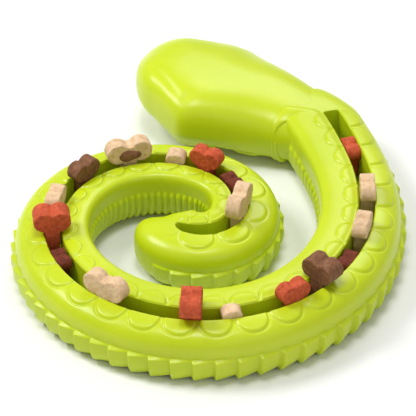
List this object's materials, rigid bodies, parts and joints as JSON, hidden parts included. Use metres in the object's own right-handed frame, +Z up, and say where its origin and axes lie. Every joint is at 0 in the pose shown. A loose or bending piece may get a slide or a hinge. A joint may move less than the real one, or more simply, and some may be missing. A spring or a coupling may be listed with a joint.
{
  "type": "rubber snake treat-dispensing dog toy",
  "caption": "Coiled moulded rubber snake lying on its back, with dog biscuits pushed into the groove along its belly; the body uncoils link by link and every biscuit pulls out",
  "frame": {"origin": "centre of the outline on the floor that the coil rests on", "axes": "+Z up, out of the belly groove; -Y towards the coil's front; the head lies at +Y and points to -X"},
  "size_m": [0.1723, 0.2185, 0.0388],
  "materials": {
    "lime_rubber": "satin moulded rubber",
    "biscuit_cream": "dry baked biscuit",
    "biscuit_red": "dry baked biscuit",
    "biscuit_brown": "dry baked biscuit",
    "biscuit_dark_red": "dry baked biscuit"
  },
  "bodies": {
    "head": {"head": "lime_rubber"},
    "neck": {"neck": "lime_rubber", "coil_01": "lime_rubber"},
    "coil_02": {"coil_02": "lime_rubber"},
    "coil_03": {"coil_03": "lime_rubber"},
    "coil_04": {"coil_04": "lime_rubber"},
    "coil_05": {"coil_05": "lime_rubber"},
    "coil_06": {"coil_06": "lime_rubber"},
    "coil_07": {"coil_07": "lime_rubber"},
    "coil_08": {"coil_08": "lime_rubber"},
    "coil_09": {"coil_09": "lime_rubber"},
    "coil_10": {"coil_10": "lime_rubber"},
    "coil_11": {"coil_11": "lime_rubber"},
    "tail": {"tail": "lime_rubber"},
    "treat_01": {"treat_01": "biscuit_red"},
    "treat_02": {"treat_02": "biscuit_cream"},
    "treat_03": {"treat_03": "biscuit_cream"},
    "treat_04": {"treat_04": "biscuit_dark_red"},
    "treat_05": {"treat_05": "biscuit_brown"},
    "treat_06": {"treat_06": "biscuit_red"},
    "treat_07": {"treat_07": "biscuit_cream"},
    "treat_08": {"treat_08": "biscuit_red"},
    "treat_09": {"treat_09": "biscuit_cream"},
    "treat_10": {"treat_10": "biscuit_dark_red"},
    "treat_11": {"treat_11": "biscuit_red"},
    "treat_12": {"treat_12": "biscuit_cream"},
    "treat_13": {"treat_13": "biscuit_brown"},
    "treat_14": {"treat_14": "biscuit_cream"},
    "treat_15": {"treat_15": "biscuit_cream"},
    "treat_16": {"treat_16": "biscuit_red"},
    "treat_17": {"treat_17": "biscuit_dark_red"},
    "treat_18": {"treat_18": "biscuit_cream"}
  },
  "joints": [
    {"name": "coil_bend_01", "type": "hinge", "parent": "coil_02", "child": "neck", "pos_m": [0.06747, -0.00437, 0.014], "axis": [0, 0, -1], "range_deg": [-3, 15], "stiffness_Nm_per_rad": 0.3},
    {"name": "coil_bend_02", "type": "hinge", "parent": "coil_03", "child": "coil_02", "pos_m": [0.06272, -0.0428, 0.014], "axis": [0, 0, -1], "range_deg": [-3, 15], "stiffness_Nm_per_rad": 0.3},
    {"name": "coil_bend_03", "type": "hinge", "parent": "coil_04", "child": "coil_03", "pos_m": [0.04119, -0.07481, 0.014], "axis": [0, 0, -1], "range_deg": [-3, 15], "stiffness_Nm_per_rad": 0.3},
    {"name": "coil_bend_04", "type": "hinge", "parent": "coil_05", "child": "coil_04", "pos_m": [0.00634, -0.09109, 0.014], "axis": [0, 0, -1], "range_deg": [-3, 15], "stiffness_Nm_per_rad": 0.3},
    {"name": "coil_bend_05", "type": "hinge", "parent": "coil_06", "child": "coil_05", "pos_m": [-0.03161, -0.08499, 0.014], "axis": [0, 0, -1], "range_deg": [-3, 15], "stiffness_Nm_per_rad": 0.3},
    {"name": "coil_bend_06", "type": "hinge", "parent": "coil_06", "child": "coil_07", "pos_m": [-0.06001, -0.05907, 0.014], "axis": [0, 0, 1], "range_deg": [-3, 15], "stiffness_Nm_per_rad": 0.3},
    {"name": "coil_bend_07", "type": "hinge", "parent": "coil_07", "child": "coil_08", "pos_m": [-0.06846, -0.02174, 0.014], "axis": [0, 0, 1], "range_deg": [-3, 15], "stiffness_Nm_per_rad": 0.3},
    {"name": "coil_bend_08", "type": "hinge", "parent": "coil_08", "child": "coil_09", "pos_m": [-0.04961, 0.01121, 0.014], "axis": [0, 0, 1], "range_deg": [-3, 15], "stiffness_Nm_per_rad": 0.3},
    {"name": "coil_bend_09", "type": "hinge", "parent": "coil_09", "child": "coil_10", "pos_m": [-0.01264, 0.0193, 0.014], "axis": [0, 0, 1], "range_deg": [-3, 15], "stiffness_Nm_per_rad": 0.3},
    {"name": "coil_bend_10", "type": "hinge", "parent": "coil_10", "child": "coil_11", "pos_m": [0.01566, -0.00448, 0.014], "axis": [0, 0, 1], "range_deg": [-3, 15], "stiffness_Nm_per_rad": 0.3},
    {"name": "coil_bend_11", "type": "hinge", "parent": "coil_11", "child": "tail", "pos_m": [-0.00194, -0.03356, 0.014], "axis": [0, 0, 1], "range_deg": [-3, 15], "stiffness_Nm_per_rad": 0.3},
    {"name": "head_lift", "type": "hinge", "parent": "neck", "child": "head", "pos_m": [0.03024, 0.06417, 0.014], "axis": [0.4695, 0.8829, 0], "range_deg": [0, 12], "stiffness_Nm_per_rad": 0.6},
    {"name": "treat_01_out", "type": "slide", "parent": "neck", "child": "treat_01", "axis": [0, 0, 1], "range_m": [0, 0.032]},
    {"name": "treat_02_out", "type": "slide", "parent": "coil_02", "child": "treat_02", "axis": [0, 0, 1], "range_m": [0, 0.032]},
    {"name": "treat_03_out", "type": "slide", "parent": "coil_03", "child": "treat_03", "axis": [0, 0, 1], "range_m": [0, 0.032]},
    {"name": "treat_04_out", "type": "slide", "parent": "coil_03", "child": "treat_04", "axis": [0, 0, 1], "range_m": [0, 0.032]},
    {"name": "treat_05_out", "type": "slide", "parent": "coil_04", "child": "treat_05", "axis": [0, 0, 1], "range_m": [0, 0.032]},
    {"name": "treat_06_out", "type": "slide", "parent": "coil_04", "child": "treat_06", "axis": [0, 0, 1], "range_m": [0, 0.032]},
    {"name": "treat_07_out", "type": "slide", "parent": "coil_05", "child": "treat_07", "axis": [0, 0, 1], "range_m": [0, 0.032]},
    {"name": "treat_08_out", "type": "slide", "parent": "coil_05", "child": "treat_08", "axis": [0, 0, 1], "range_m": [0, 0.032]},
    {"name": "treat_09_out", "type": "slide", "parent": "coil_06", "child": "treat_09", "axis": [0, 0, 1], "range_m": [0, 0.032]},
    {"name": "treat_10_out", "type": "slide", "parent": "coil_07", "child": "treat_10", "axis": [0, 0, 1], "range_m": [0, 0.032]},
    {"name": "treat_11_out", "type": "slide", "parent": "coil_08", "child": "treat_11", "axis": [0, 0, 1], "range_m": [0, 0.032]},
    {"name": "treat_12_out", "type": "slide", "parent": "coil_08", "child": "treat_12", "axis": [0, 0, 1], "range_m": [0, 0.032]},
    {"name": "treat_13_out", "type": "slide", "parent": "coil_09", "child": "treat_13", "axis": [0, 0, 1], "range_m": [0, 0.032]},
    {"name": "treat_14_out", "type": "slide", "parent": "coil_09", "child": "treat_14", "axis": [0, 0, 1], "range_m": [0, 0.032]},
    {"name": "treat_15_out", "type": "slide", "parent": "coil_10", "child": "treat_15", "axis": [0, 0, 1], "range_m": [0, 0.032]},
    {"name": "treat_16_out", "type": "slide", "parent": "coil_10", "child": "treat_16", "axis": [0, 0, 1], "range_m": [0, 0.032]},
    {"name": "treat_17_out", "type": "slide", "parent": "coil_11", "child": "treat_17", "axis": [0, 0, 1], "range_m": [0, 0.032]},
    {"name": "treat_18_out", "type": "slide", "parent": "coil_11", "child": "treat_18", "axis": [0, 0, 1], "range_m": [0, 0.032]}
  ],
  "couplings": [
    {"joint": "coil_bend_01", "follows": "coil_bend_06", "ratio": 1},
    {"joint": "coil_bend_02", "follows": "coil_bend_06", "ratio": 1},
    {"joint": "coil_bend_03", "follows": "coil_bend_06", "ratio": 1},
    {"joint": "coil_bend_04", "follows": "coil_bend_06", "ratio": 1},
    {"joint": "coil_bend_05", "follows": "coil_bend_06", "ratio": 1},
    {"joint": "coil_bend_07", "follows": "coil_bend_06", "ratio": 1},
    {"joint": "coil_bend_08", "follows": "coil_bend_06", "ratio": 1},
    {"joint": "coil_bend_09", "follows": "coil_bend_06", "ratio": 1},
    {"joint": "coil_bend_10", "follows": "coil_bend_06", "ratio": 1},
    {"joint": "coil_bend_11", "follows": "coil_bend_06", "ratio": 1}
  ]
}
